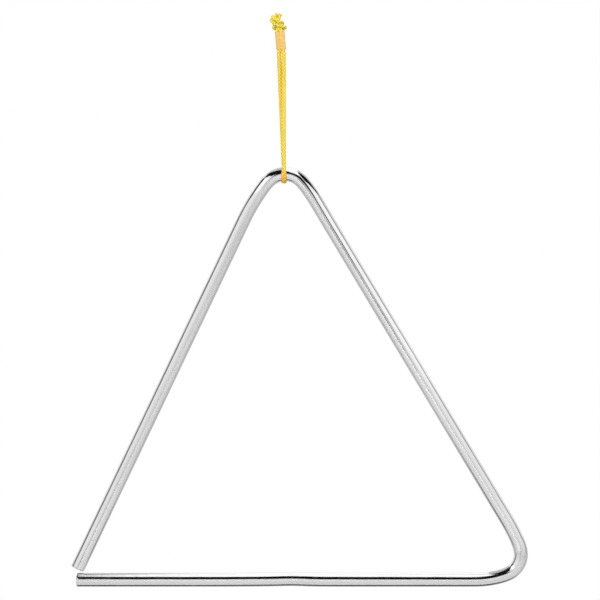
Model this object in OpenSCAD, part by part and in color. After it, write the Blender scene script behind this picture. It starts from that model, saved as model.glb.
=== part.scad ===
// Triangle instrument hanging from the loop of cord that a player holds it by.
// The origin is the middle of the sleeve's lower mouth, where the cord swings.
// X runs along the triangle's base, Z is up, and the front is on the -Y side.

/* [Steel bar] */
// Diameter of the round bar
bar_d = 8; // [5:0.5:9]
// Width of the base between the lower corners, where the bar's centre-lines would meet
corner_span = 269; // [200:1:400]
// Slope of the left leg, measured from the base
left_leg_deg = 64.5; // [60:0.5:68]
// Slope of the right leg, measured from the base
right_leg_deg = 59; // [55:0.5:64]
// Clear gap at the open corner, between the left leg's end and the base
open_gap = 0.5; // [0.3:0.1:5]
// How far the base's end stops short of the open corner's point
base_end_inset = 2.5; // [0:0.5:6]
// Chamfer round both cut ends
end_chamfer = 0.5; // [0.2:0.1:1]

/* [Bends] */
// Centre-line radius in the middle of the top bend
apex_bend_r = 13; // [12:0.5:20]
// Turn of the top bend's left shoulder, where the bar eases into the left leg
apex_left_ease_deg = 12.5; // [5:0.5:20]
// Centre-line radius of that shoulder
apex_left_ease_r = 115; // [60:5:150]
// Turn of the top bend's right shoulder
apex_right_ease_deg = 10; // [5:0.5:20]
// Centre-line radius of that shoulder
apex_right_ease_r = 75; // [50:5:120]
// Centre-line radius in the middle of the lower right bend
corner_bend_r = 12.5; // [10:0.5:20]
// Turn of the lower right bend's shoulder on the leg
corner_leg_ease_deg = 10; // [5:0.5:20]
// Centre-line radius of that shoulder
corner_leg_ease_r = 90; // [50:5:120]
// Turn of the lower right bend's shoulder on the base
corner_base_ease_deg = 19; // [5:0.5:25]
// Centre-line radius of that shoulder
corner_base_ease_r = 54; // [40:2:90]

/* [Cord] */
// Diameter of the braided cord
cord_d = 2.5; // [2:0.1:2.8]
// Clear space between the two strands where they lie side by side
strand_gap = 0.1; // [0.1:0.1:0.6]
// Distance from the sleeve's mouth down to the middle of the bar
hang_length = 70.5; // [50:0.5:120]
// How far to the right of the sleeve's mouth the cord meets the bar
hang_shift = 1.6; // [0:0.1:3]
// Clear space between the cord's loop and the bar
loop_clearance = 0.3; // [0.2:0.05:0.6]
// Length of the short strands below the sleeve, down to where the cord twists
neck_length = 8; // [6:0.5:12]
// Clear space between stretches of cord that turn on each other
turning_gap = 0.3; // [0.2:0.05:0.5]

/* [Sleeve] */
// Length of the clear sleeve that binds the two strands
sleeve_length = 10.5; // [8:0.5:16]
// Wall of the sleeve
sleeve_wall = 0.3; // [0.2:0.05:0.6]
// Clear space between the strands and the sleeve's bore
sleeve_clearance = 0.1; // [0.05:0.05:0.3]
// Lean of the sleeve and the knot to the left
held_lean_deg = 5; // [0:1:12]

/* [Knot] */
// Size of the knot's turns, from which its height and width follow
knot_turn = 1.1; // [0.9:0.1:1.8]
// How far the knot's turns cross over each other, from front to back
knot_depth = 1.7; // [1.2:0.1:2.4]
// Diameter of the cord where the knot squeezes it
knot_cord_d = 2.2; // [1.8:0.1:2.5]
// Length of the two cut tails above the knot
tail_length = 1; // [1:0.5:8]

/* [Hidden] */
$fn = 48;

bar_r = bar_d / 2;
cord_r = cord_d / 2;

// The bar is drawn flat and stood up: a run lists its pieces as [straight, bend radius, bend angle,
// shoulder], starts level at the bend's highest point and turns downwards at every bend.
function bend(r, deg) = [0, r, deg, false];
function shoulder(r, deg) = [0, r, deg, true];
function straight(length) = [length, 0, 0, false];

corner_turn_deg = 180 - right_leg_deg;
apex_left_bend = [bend(apex_bend_r, left_leg_deg - apex_left_ease_deg),
                  shoulder(apex_left_ease_r, apex_left_ease_deg)];
apex_right_bend = [bend(apex_bend_r, right_leg_deg - apex_right_ease_deg),
                   shoulder(apex_right_ease_r, apex_right_ease_deg)];
corner_bend = [shoulder(corner_leg_ease_r, corner_leg_ease_deg),
               bend(corner_bend_r, corner_turn_deg - corner_leg_ease_deg - corner_base_ease_deg),
               shoulder(corner_base_ease_r, corner_base_ease_deg)];

// Where a run ends, as [along, up]
function run_end(run, i = 0, at = [0, 0], down = 0) =
    i == len(run) ? at :
    let (chord = run[i][0] + 2 * run[i][1] * sin(run[i][2] / 2), slope = down + run[i][2] / 2)
    run_end(run, i + 1, at + chord * [cos(slope), -sin(slope)], down + run[i][2]);

// The straight centre-lines on both sides of each bend meet in the corners of a plain triangle.
corner_height = corner_span / (1 / tan(left_leg_deg) + 1 / tan(right_leg_deg));
left_side = corner_height / sin(left_leg_deg);
right_side = corner_height / sin(right_leg_deg);

// Distances from the ends of the top bend up to the top corner
apex_left_end = run_end(apex_left_bend);
apex_right_end = run_end(apex_right_bend);
apex_span = apex_left_end[0] + apex_right_end[0];
apex_step = apex_right_end[1] - apex_left_end[1];
apex_turn_deg = left_leg_deg + right_leg_deg;
apex_right_reach = (apex_span * sin(left_leg_deg) - apex_step * cos(left_leg_deg)) / sin(apex_turn_deg);
apex_left_reach = (apex_span * sin(right_leg_deg) + apex_step * cos(right_leg_deg)) / sin(apex_turn_deg);

// Distances from the ends of the lower right bend to its corner
corner_end = run_end(corner_bend);
corner_leg_reach = corner_end[0] + corner_end[1] / tan(corner_turn_deg);
corner_base_reach = -corner_end[1] / sin(corner_turn_deg);

// The left leg is cut square where its lower edge clears the base by the open gap.
left_end_reach = (bar_r + open_gap + bar_r * cos(left_leg_deg)) / sin(left_leg_deg);

left_run = concat(apex_left_bend, [straight(left_side - apex_left_reach - left_end_reach)]);
right_run = concat(apex_right_bend, [straight(right_side - apex_right_reach - corner_leg_reach)],
                   corner_bend, [straight(corner_span - corner_base_reach - base_end_inset)]);

// A shoulder is a hair thinner than the bar, as stretched steel is, and runs a short way into the pieces
// at its two ends.
shoulder_relief = 0.06;
shoulder_lap = 0.1;

module arc(r, from_deg, to_deg, bar_radius) {
    translate([0, -r, 0]) rotate([0, 0, 90 - to_deg])
        rotate_extrude(angle = to_deg - from_deg) translate([r, 0]) circle(r = bar_radius);
}

module bar_piece(piece, is_last) {
    length = piece[0];
    lap_deg = piece[3] ? 180 * shoulder_lap / (PI * piece[1]) : 0;
    if (length > 0) rotate([0, 90, 0]) {
        plain = length - (is_last ? end_chamfer : 0);
        cylinder(h = plain, r = bar_r);
        if (is_last) translate([0, 0, plain])
            cylinder(h = end_chamfer, r1 = bar_r, r2 = bar_r - end_chamfer);
    }
    else arc(piece[1], -lap_deg, piece[2] + lap_deg, bar_r - (piece[3] ? shoulder_relief : 0));
}

module after(piece) {
    end = run_end([piece]);
    translate([end[0], end[1], 0]) rotate([0, 0, -piece[2]]) children();
}

module bar_run(run, i) {
    bar_piece(run[i], i == len(run) - 1);
    if (i < len(run) - 1) after(run[i]) bar_run(run, i + 1);
}

// One bar, bent twice and left open at the lower left corner
module triangle_bar() {
    color("gainsboro")
        translate([hang_shift, 0, -hang_length]) rotate([90, 0, 0]) {
            arc(apex_bend_r, -left_run[0][2], right_run[0][2], bar_r);
            after(right_run[0]) bar_run(right_run, 1);
            mirror([1, 0, 0]) after(left_run[0]) bar_run(left_run, 1);
        }
}

// A cord is an eight-sided tube swept along its route.
tube_sides = 8;
rightward = [1, 0, 0];
backward = [0, 1, 0];
upward = [0, 0, 1];
downward = [0, 0, -1];

function unit(v) = v / norm(v);
function squared(v, dir) = unit(v - (v * dir) * dir);
function along(route, i) = unit(route[min(i + 1, len(route) - 1)] - route[max(i - 1, 0)]);

// One ring square to the route: its corners are turned from the right-hand side
function ring(at, dir, r) =
    let (side = squared(rightward, dir), other = cross(dir, side))
    [for (k = [0 : tube_sides - 1])
        let (a = 360 * (k + 1 / 2) / tube_sides) at + r * (cos(a) * side + sin(a) * other)];

module tube(route, radii, first_dir, last_dir) {
    last = len(route) - 1;
    points = [for (i = [0 : last])
        each ring(route[i], i == 0 ? first_dir : i == last ? last_dir : along(route, i), radii[i])];
    walls = [for (i = [0 : last - 1], k = [0 : tube_sides - 1])
        let (a = i * tube_sides + k, b = i * tube_sides + (k + 1) % tube_sides)
        each [[a, b, b + tube_sides], [a, b + tube_sides, a + tube_sides]]];
    near_end = [for (k = [1 : tube_sides - 2]) [0, k + 1, k]];
    far_end = [for (k = [1 : tube_sides - 2]) last * tube_sides * [1, 1, 1] + [0, k, k + 1]];
    polyhedron(points = points, faces = concat(walls, near_end, far_end));
}

function same(value, route) = [for (p = route) value];

// The strands lie side by side at the sleeve and part to the front and back of the bar.
strand_offset = (cord_d + strand_gap) / 2;
loop_r = bar_r + loop_clearance + cord_r;

// Place at height z on a strand: side 1 runs from the right to the front, -1 from the left to the back
function strand_at(z, side) =
    let (share = -z / hang_length)
    [side * strand_offset * (1 - share) + hang_shift * share, -side * loop_r * share, z];

// Short strands under the sleeve, with domed tops that turn in the hollow above them
dome_rise = cord_d / 5;
dome_radius_shares = [0.35, 0.72, 0.93, 1];
dome_height_shares = [1, 0.75, 0.42, 0];
hollow_r = norm([strand_offset, dome_rise]) + cord_r + turning_gap;

module neck_strand(side) {
    dome = [for (s = dome_height_shares) [side * strand_offset, 0, dome_rise + s * cord_r]];
    route = concat(dome, [strand_at(-neck_length, side)]);
    radii = concat(dome_radius_shares * cord_r, [cord_r]);
    color("gold") tube(route, radii, downward, downward);
}
module right_neck_strand() { neck_strand(1); }
module left_neck_strand() { neck_strand(-1); }

// Long strands from the neck down to the loop
strand_shares = [0, 0.2, 0.4, 0.6, 0.8, 1];
module long_strand(side) {
    top_z = -neck_length - turning_gap;
    route = [for (s = strand_shares) strand_at(top_z * (1 - s) - hang_length * s, side)];
    color("gold") tube(route, same(cord_r, route), downward, downward);
}
module front_strand() { long_strand(1); }
module back_strand() { long_strand(-1); }

// The loop passes under the bar from the front strand to the back strand.
loop_steps = 10;
module bar_loop() {
    route = [for (i = [0 : loop_steps])
        let (a = 180 * i / loop_steps)
        [hang_shift, -loop_r * cos(a), -hang_length - loop_r * sin(a)]];
    color("orange") tube(route, same(cord_r, route), downward, upward);
}

// The sleeve stands over the hollow, and the two strands in it end where the hollow begins.
sleeve_bore_r = strand_offset + cord_r + sleeve_clearance;
sleeve_r = sleeve_bore_r + sleeve_wall;
sleeve_mouth_z = sqrt(pow(hollow_r, 2) - pow(strand_offset + cord_r, 2));
sleeve_top_z = sleeve_mouth_z + sleeve_length;

module leaning() { rotate([0, -held_lean_deg, 0]) children(); }

module clear_sleeve() {
    color("navajowhite", 0.6) leaning() translate([0, 0, sleeve_mouth_z]) difference() {
        cylinder(h = sleeve_length, r = sleeve_r);
        translate([0, 0, -sleeve_length / 2]) cylinder(h = 2 * sleeve_length, r = sleeve_bore_r);
    }
}

module sleeve_strands() {
    color("gold") leaning() difference() {
        for (side = [-1, 1])
            translate([side * strand_offset, 0, 0]) cylinder(h = sleeve_top_z, r = cord_r);
        sphere(r = hollow_r);
    }
}

// Overhand knot in the doubled cord: a trefoil that is cut open on its left, with its two ends drawn out
// below and above. Its places are shares of the knot's turn across and up, and of its depth. The pair
// turns from side by side at the neck to one behind the other.
knot_cord_r = knot_cord_d / 2;
knot_open_deg = 138;
knot_steps = 16;
knot_width_share = 1.55;
knot_taper_share = 0.12;
knot_lean_share = 0.12;
knot_shift_share = -0.5;
knot_entry_shares = [[0, 0, -4.05], [-0.4, -0.2, -2.35], [-1.8, -0.85, -1.2], [-2, -0.95, 0.2]];
knot_exit_shares = [[-2.1, 0.95, -0.2], [-1.9, 0.85, 1.2], [-1.5, 0.5, 2.3], [-1.1, 0.2, 3.2]];
pair_turn_shares = [0, 0.35, 0.7, 1];

function knot_place(share) = [share[0] * knot_turn, share[1] * knot_depth, share[2] * knot_turn];

// The trefoil's upper turns are narrower than its lower ones and lie further to the left.
function trefoil_share(t) =
    let (across = cos(t) - 2 * cos(2 * t), up = sin(t) + 2 * sin(2 * t))
    [knot_width_share * across * (1 - knot_taper_share * up) - knot_lean_share * up + knot_shift_share,
     sin(3 * t), up];

knot_end_count = len(knot_entry_shares);
knot_middle_shares = [for (i = [0 : knot_steps]) trefoil_share(knot_open_deg * (2 * i / knot_steps - 1))];
knot_route = [for (s = concat(knot_entry_shares, knot_middle_shares, knot_exit_shares)) knot_place(s)];
knot_last = len(knot_route) - 1;

function pair_turn(i) =
    let (from_end = min(i, knot_last - i)) from_end < knot_end_count ? pair_turn_shares[from_end] : 1;
function pair_side(i) =
    squared(cos(90 * pair_turn(i)) * rightward + sin(90 * pair_turn(i)) * backward,
            i == 0 || i == knot_last ? upward : along(knot_route, i));
function pair_offset(i) = strand_offset * (1 - pair_turn(i)) + knot_cord_r * pair_turn(i);

tail_spread_share = 0.3;
cord_facets = 10;

module knot_strand(side) {
    places = [for (i = [0 : knot_last]) knot_route[i] + side * pair_offset(i) * pair_side(i)];
    tail = places[knot_last] + tail_length * (upward + side * tail_spread_share * rightward);
    way = concat(places, [tail]);
    hull() {
        translate(way[0]) cylinder(h = knot_cord_r / 4, r = cord_r, $fn = 2 * cord_facets);
        translate(way[1]) sphere(r = knot_cord_r, $fn = cord_facets);
    }
    for (i = [1 : len(way) - 2]) hull() {
        translate(way[i]) sphere(r = knot_cord_r, $fn = cord_facets);
        translate(way[i + 1]) sphere(r = knot_cord_r, $fn = cord_facets);
    }
}

module overhand_knot() {
    color("gold") leaning() translate([0, 0, sleeve_top_z - knot_route[0][2]])
        for (side = [-1, 1]) knot_strand(side);
}

triangle_bar();
clear_sleeve();
sleeve_strands();
overhand_knot();
right_neck_strand();
left_neck_strand();
front_strand();
back_strand();
bar_loop();
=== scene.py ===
"""Triangle instrument: a chromed bar in a loop of braided cord, which is tied off above a clear sleeve."""

import math

import bpy
import numpy as np
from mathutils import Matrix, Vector


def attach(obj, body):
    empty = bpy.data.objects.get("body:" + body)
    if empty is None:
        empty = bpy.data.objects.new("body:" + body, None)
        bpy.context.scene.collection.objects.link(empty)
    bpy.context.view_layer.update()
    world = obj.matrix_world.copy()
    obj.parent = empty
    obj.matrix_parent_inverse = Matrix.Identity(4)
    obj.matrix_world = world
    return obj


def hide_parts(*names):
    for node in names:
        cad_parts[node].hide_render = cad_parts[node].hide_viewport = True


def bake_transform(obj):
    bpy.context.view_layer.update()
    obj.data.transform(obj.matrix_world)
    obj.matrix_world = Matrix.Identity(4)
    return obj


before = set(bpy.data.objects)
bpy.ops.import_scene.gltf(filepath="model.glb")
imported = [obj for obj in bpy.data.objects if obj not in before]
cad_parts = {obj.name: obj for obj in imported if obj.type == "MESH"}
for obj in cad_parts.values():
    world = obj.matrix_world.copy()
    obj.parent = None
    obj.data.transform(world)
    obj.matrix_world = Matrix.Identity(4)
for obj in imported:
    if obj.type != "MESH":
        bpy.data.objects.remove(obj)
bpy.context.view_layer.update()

# Sizes of the object, in metres and degrees, as in the part's source
BAR_R = 0.004
HANG_LENGTH, HANG_SHIFT = 0.0705, 0.0016
CORNER_SPAN, LEFT_LEG_DEG, RIGHT_LEG_DEG = 0.269, 64.5, 59.0
OPEN_GAP, BASE_END_INSET, END_CHAMFER = 0.0005, 0.0025, 0.0005
APEX_BEND_R, CORNER_BEND_R = 0.013, 0.0125
APEX_LEFT_EASE_R, APEX_LEFT_EASE_DEG = 0.115, 12.5
APEX_RIGHT_EASE_R, APEX_RIGHT_EASE_DEG = 0.075, 10
CORNER_LEG_EASE_R, CORNER_LEG_EASE_DEG = 0.090, 10
CORNER_BASE_EASE_R, CORNER_BASE_EASE_DEG = 0.054, 19
CORD_R = 0.00125
SLEEVE_MOUTH, SLEEVE_LENGTH, HELD_LEAN_DEG = 0.00147, 0.0105, 5.0


# Shared helpers

def add_node(tree, kind, values=None, **settings):
    """One node. Its values go to input sockets by name or number, as links or as plain values."""
    made = tree.nodes.new(kind)
    for name, value in settings.items():
        setattr(made, name, value)
    for name, value in (values or {}).items():
        socket = made.inputs[name]
        if isinstance(value, bpy.types.NodeSocket):
            tree.links.new(value, socket)
        else:
            socket.default_value = value
    return made


def number(tree, operation, *values):
    """The result of one Math node."""
    return add_node(tree, "ShaderNodeMath", dict(enumerate(values)), operation=operation).outputs[0]


def vector(tree, operation, *values):
    """The vector result of one Vector Math node."""
    return add_node(tree, "ShaderNodeVectorMath", dict(enumerate(values)), operation=operation).outputs[0]


def scaled(tree, value, factor):
    """A vector times a number, which may change over the surface."""
    made = add_node(tree, "ShaderNodeVectorMath", {0: value, "Scale": factor}, operation="SCALE")
    return made.outputs[0]


def dot(tree, first, second):
    """The dot product of two vectors."""
    made = add_node(tree, "ShaderNodeVectorMath", {0: first, 1: second}, operation="DOT_PRODUCT")
    return made.outputs["Value"]


def spread(tree, value, low, high, to_low, to_high):
    """A value taken from one range to another and held there."""
    values = {0: value, 1: low, 2: high, 3: to_low, 4: to_high}
    return add_node(tree, "ShaderNodeMapRange", values).outputs[0]


def named(tree, name, kind="FLOAT"):
    """A named attribute, read inside a geometry tree."""
    return add_node(tree, "GeometryNodeInputNamedAttribute", {"Name": name}, data_type=kind).outputs[0]


def named_vector(tree, name):
    """A named attribute that holds directions or places."""
    return named(tree, name, "FLOAT_VECTOR")


def stored(tree, geometry, name, value, kind=None, domain="POINT"):
    """The geometry with one more named attribute. It is a vector or a plain number, as its value is,
    unless a kind is given."""
    kind = kind or ("FLOAT_VECTOR" if getattr(value, "type", "") == "VECTOR" else "FLOAT")
    made = add_node(tree, "GeometryNodeStoreNamedAttribute",
                    {"Geometry": geometry, "Name": name, "Value": value}, data_type=kind, domain=domain)
    return made.outputs[0]


def combined(tree, x, y, z):
    """Three numbers as one vector."""
    return add_node(tree, "ShaderNodeCombineXYZ", {"X": x, "Y": y, "Z": z}).outputs[0]


def parts(tree, value):
    """The three numbers of a vector."""
    return add_node(tree, "ShaderNodeSeparateXYZ", {0: value}).outputs


def position(tree):
    """Each point's place, read inside a geometry tree."""
    return tree.nodes.new("GeometryNodeInputPosition").outputs[0]


def progress(tree, measure):
    """How far along its curve each point lies: a Length, or a Factor from 0 to 1."""
    return add_node(tree, "GeometryNodeSplineParameter").outputs[measure]


def moved(tree, geometry, offset):
    """The geometry with its points moved."""
    return add_node(tree, "GeometryNodeSetPosition", {"Geometry": geometry, "Offset": offset}).outputs[0]


def joined(tree, *meshes):
    """Several meshes in one."""
    made = tree.nodes.new("GeometryNodeJoinGeometry")
    for mesh in meshes:
        tree.links.new(mesh, made.inputs[0])
    return made.outputs[0]


def circle(tree, corners, radius):
    """A round profile."""
    return add_node(tree, "GeometryNodeCurvePrimitiveCircle",
                    {"Resolution": corners, "Radius": radius}).outputs[0]


def curve_of(tree, path):
    """The path's line as a curve."""
    return add_node(tree, "GeometryNodeMeshToCurve", {0: path}).outputs[0]


def swept(tree, curve, profile, scale):
    """A solid mesh: a profile swept along a curve, scaled along it, with both ends closed."""
    return add_node(tree, "GeometryNodeCurveToMesh", {"Curve": curve, "Profile Curve": profile,
                                                      "Scale": scale, "Fill Caps": True}).outputs[0]


def with_directions(tree, curve):
    """The curve with its sideways and its forward direction stored on it."""
    normal = tree.nodes.new("GeometryNodeInputNormal").outputs["Normal"]
    tangent = tree.nodes.new("GeometryNodeInputTangent").outputs[0]
    curve = stored(tree, curve, "side", normal)
    return stored(tree, curve, "ahead", tangent)


def outwards(tree, angle):
    """The direction at an angle round the curve, and the curve's second sideways direction."""
    side, ahead = named_vector(tree, "side"), named_vector(tree, "ahead")
    across = vector(tree, "CROSS_PRODUCT", ahead, side)
    outward = vector(tree, "ADD", scaled(tree, side, number(tree, "COSINE", angle)),
                     scaled(tree, across, number(tree, "SINE", angle)))
    return outward, across


def geometry_tree(name, **inputs):
    """A geometry tree with a Path, the named inputs and a Mesh output. Returns the tree, a function
    that gives an input's socket, and a function that ends the tree."""
    tree = bpy.data.node_groups.new(name, "GeometryNodeTree")
    tree.interface.new_socket("Path", in_out="INPUT", socket_type="NodeSocketGeometry")
    for label, value in inputs.items():
        kind = "Int" if isinstance(value, int) else "Float"
        socket = tree.interface.new_socket(label.replace("_", " "), in_out="INPUT",
                                           socket_type="NodeSocket" + kind)
        socket.default_value = value
    tree.interface.new_socket("Material", in_out="INPUT", socket_type="NodeSocketMaterial")
    tree.interface.new_socket("Mesh", in_out="OUTPUT", socket_type="NodeSocketGeometry")
    entry = tree.nodes.new("NodeGroupInput")

    def close(mesh):
        mesh = add_node(tree, "GeometryNodeRealizeInstances", {"Geometry": mesh}).outputs[0]
        mesh = add_node(tree, "GeometryNodeSetShadeSmooth", {"Geometry": mesh}).outputs[0]
        mesh = add_node(tree, "GeometryNodeSetMaterial",
                        {"Geometry": mesh, "Material": entry.outputs["Material"]}).outputs[0]
        tree.links.new(mesh, tree.nodes.new("NodeGroupOutput").inputs["Mesh"])

    return tree, lambda label: entry.outputs[label], close


def placed(name, data):
    """An object of the scene, made of finished data such as a mesh."""
    made = bpy.data.objects.new(name, data)
    bpy.context.scene.collection.objects.link(made)
    return made


def grown(name, tree, points, values=None, **attributes):
    """A plain mesh piece that a tree grows along a line of points, which may carry values of their own."""
    line = bpy.data.meshes.new(name)
    edges = [(index, index + 1) for index in range(len(points) - 1)]
    line.from_pydata([tuple(point) for point in points], edges, [])
    for label, per_point in attributes.items():
        kind, field = ("FLOAT", "value") if np.ndim(per_point) == 1 else ("FLOAT_VECTOR", "vector")
        line.attributes.new(label, kind, "POINT").data.foreach_set(field, np.float32(per_point).ravel())
    source = placed(name + "_line", line)
    modifier = source.modifiers.new("grown", "NODES")
    modifier.node_group = tree
    for item in tree.interface.items_tree:
        if item.in_out == "INPUT" and item.name in (values or {}):
            modifier[item.identifier] = values[item.name]
    depsgraph = bpy.context.evaluated_depsgraph_get()
    mesh = bpy.data.meshes.new_from_object(source.evaluated_get(depsgraph), depsgraph=depsgraph,
                                           preserve_all_data_layers=True)
    source.modifiers.remove(modifier)
    bpy.data.objects.remove(source)
    mesh.name = name
    return placed(name, mesh)


def lengths_along(points):
    """Each point's distance from the first, along the line."""
    steps = np.linalg.norm(np.diff(points, axis=0), axis=1)
    return np.concatenate([[0], np.cumsum(steps)])


def at_lengths(points, lengths):
    """Points at the given distances along a line."""
    along = lengths_along(points)
    return np.stack([np.interp(lengths, along, points[:, axis]) for axis in range(3)], 1)


def evenly(points, step):
    """The line again, with its points about one step apart."""
    whole = lengths_along(points)[-1]
    return at_lengths(points, np.linspace(0, whole, max(2, round(whole / step) + 1)))


def eased(points, step, width):
    """The line with its corners and changes of curvature rounded off over a width, in metres."""
    line = evenly(points, step)
    reach = max(1, math.ceil(3 * width / step))
    weights = np.exp(-0.5 * (np.arange(-reach, reach + 1) * step / width) ** 2)
    weights /= weights.sum()
    first = line[0] + np.arange(-reach, 0)[:, None] * (line[1] - line[0])
    last = line[-1] + np.arange(1, reach + 1)[:, None] * (line[-1] - line[-2])
    longer = np.concatenate([first, line, last])
    return np.stack([np.convolve(longer[:, axis], weights, "valid") for axis in range(3)], 1)


# Camera

def place_camera():
    """A long lens, level with the object, at the distance where 600 pixels span 342.9 mm."""
    width, distance, sensor = 0.3429, 2.6, 36.0
    middle_x, middle_z = 0.01046, -0.14229
    data = bpy.data.cameras.new("camera")
    data.sensor_width = sensor
    data.lens = sensor * distance / width
    data.clip_end = 30
    camera = placed("camera", data)
    camera.location = (middle_x, -distance, middle_z)
    camera.rotation_euler = (math.pi / 2, 0, 0)
    bpy.context.scene.camera = camera


bpy.context.scene.view_settings.view_transform = "Standard"
place_camera()


# Cord: route

# The loose knot, and how it is pulled tight: the spacing of its points and the number of rounds
KNOT_TURN, KNOT_DEPTH, KNOT_PAIR_OFFSET = 0.0042, 0.0048, 0.0011
KNOT_STEP, KNOT_ROUNDS = 0.00095, 650
# The tight knot: the squeezed cord's radius, the knot's pose, and the low turn that stands out to the right
KNOT_CORD_R = 0.0011
KNOT_FACING_DEG, KNOT_TILT_DEG, KNOT_SIDE_SLOPE, KNOT_SHIFT = 145, 17.8, -0.06, -0.0005
KNOT_EAR, KNOT_EAR_RISE, KNOT_EAR_SPREAD, KNOT_HALF_WIDTH = 0.0011, 0.16, 0.13, 0.003
KNOT_SEAT, KNOT_FEET_LENGTH, TAIL_RISE = 0.0003, 0.003, 0.0007
# The strands in the sleeve, and the tube round them
STRAND_SIDE, STRAND_R = 0.00100, 0.00111
TUBE_LOW = SLEEVE_MOUTH - 0.0005
TUBE_TOP = TUBE_LOW + SLEEVE_LENGTH
# The tied end hangs a little to the left of the joint
CORD_SHIFT = -0.0004
# The hanging strands' upper ends below the sleeve, and the loop, which is pressed on the bar
MOUTH_SHIFT, MOUTH_SIDE, MOUTH_Z = 0.0002, 0.00136, -0.0015
LOOP_X, LOOP_RISE, LOOP_R = 0.0013, 0.0003, BAR_R + 0.0008
# The cord is made in three pieces, cut at this height
NECK_END_Z = -0.0075


def loose_knot():
    """Route of a wide, loose overhand knot: a trefoil cut open on its left, led straight down and up."""
    reach_deg, count = 142, 65
    angle = np.radians(np.linspace(-reach_deg, reach_deg, count))
    across = np.cos(angle) - 2 * np.cos(2 * angle)
    up = np.sin(angle) + 2 * np.sin(2 * angle)
    turns = np.stack([KNOT_TURN * across, KNOT_DEPTH * np.sin(3 * angle), KNOT_TURN * up], 1)
    x, y, z = turns[-1]
    lead = np.array([[0.9 * x, y, z + 0.003],
                     [-1.4 * KNOT_TURN, 0.6 * y, 2.4 * KNOT_TURN],
                     [-0.6 * KNOT_TURN, 0.3 * y, 3.8 * KNOT_TURN],
                     [0, 0, 5 * KNOT_TURN],
                     [0, 0, 5.4 * KNOT_TURN]])
    return np.concatenate([(lead * [1, -1, -1])[::-1], turns, lead])


def paired(route, offset, first_side):
    """Two strands that run beside a route without twisting round each other."""
    directions = np.gradient(route, axis=0)
    directions /= np.linalg.norm(directions, axis=1)[:, None]
    side, sides = np.array(first_side, float), []
    for direction in directions:
        side = side - (side @ direction) * direction
        side /= np.linalg.norm(side)
        sides.append(side)
    return [route + offset * np.array(sides), route - offset * np.array(sides)]


def pushed_apart(points, strand, place, thickness, neighbours, held):
    """Moves the points of touching stretches of cord apart, until they lie one thickness away."""
    rounds, damping = 3, 0.6
    one, other = np.triu_indices(len(points), 1)
    apart = (strand[one] != strand[other]) | (np.abs(place[one] - place[other]) > neighbours)
    one, other = one[apart], other[apart]
    for _ in range(rounds):
        between = points[other] - points[one]
        distance = np.linalg.norm(between, axis=1)
        close = distance < thickness
        if not close.any():
            return
        push = ((thickness / distance[close] - 1) / 2)[:, None] * between[close]
        moves, touches = np.zeros_like(points), np.zeros(len(points))
        np.add.at(moves, one[close], -push)
        np.add.at(moves, other[close], push)
        np.add.at(touches, one[close], 1)
        np.add.at(touches, other[close], 1)
        moves /= np.maximum(damping * touches, 1)[:, None]
        moves[held] = 0
        points += moves


def pulled_tight(strands):
    """Shortens both strands of the loose knot between their held ends, until they lie on each other."""
    pull, thickness = 0.5, 1.95 * KNOT_CORD_R
    respaced_every, neighbours = 10, math.ceil(2.8 * KNOT_CORD_R / KNOT_STEP)
    for turn in range(KNOT_ROUNDS):
        if turn % respaced_every == 0:
            strands = [evenly(line, KNOT_STEP) for line in strands]
        counts = [len(line) for line in strands]
        points = np.concatenate(strands)
        strand = np.repeat([0, 1], counts)
        place = np.concatenate([np.arange(count) for count in counts])
        held = (place < 2) | (place > np.repeat(counts, counts) - 3)
        free = np.flatnonzero(~held)
        points[free] += pull * ((points[free - 1] + points[free + 1]) / 2 - points[free])
        pushed_apart(points, strand, place, thickness, neighbours, held)
        strands = [points[:counts[0]], points[counts[0]:]]
    return strands


def turned(points, degrees, axis):
    """Points turned about one axis of the frame through the origin."""
    cosine, sine = math.cos(math.radians(degrees)), math.sin(math.radians(degrees))
    turn = {"Y": [[cosine, 0, sine], [0, 1, 0], [-sine, 0, cosine]],
            "Z": [[cosine, -sine, 0], [sine, cosine, 0], [0, 0, 1]]}[axis]
    return points @ np.array(turn).T


def leaned(points):
    """Points of the sleeve and the knot, leaned to the left about the sleeve's mouth."""
    return turned(points, -HELD_LEAN_DEG, "Y") + [CORD_SHIFT, 0, 0]


def knot_heights(strands):
    """The lowest and the highest side of the knot's turns, without the parts that run straight up."""
    level = []
    for strand in strands:
        ahead = np.gradient(strand, axis=0)
        level.append(strand[ahead[:, 2] < 0.5 * np.linalg.norm(ahead, axis=1), 2])
    heights = np.concatenate(level)
    return heights.min() - KNOT_CORD_R, heights.max() + KNOT_CORD_R


def shaped_knot(strand, rise):
    """Presses a strand of the knot into its final outline, wide below and narrow on top. The rise is 0 at
    the knot's lowest side and 1 at its highest."""
    rises, widths, left_share = [0.1, 0.25, 0.45, 0.8], [1.25, 1.2, 0.98, 0.95], -0.35
    strand[:, 0] *= np.interp(rise, rises, widths)
    aside = np.clip(strand[:, 0] / KNOT_HALF_WIDTH, left_share, 1)
    strand[:, 0] += KNOT_EAR * aside * np.exp(-((rise - KNOT_EAR_RISE) / KNOT_EAR_SPREAD) ** 2)
    strand[:, 0] += KNOT_SIDE_SLOPE * strand[:, 2] + KNOT_SHIFT


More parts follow.
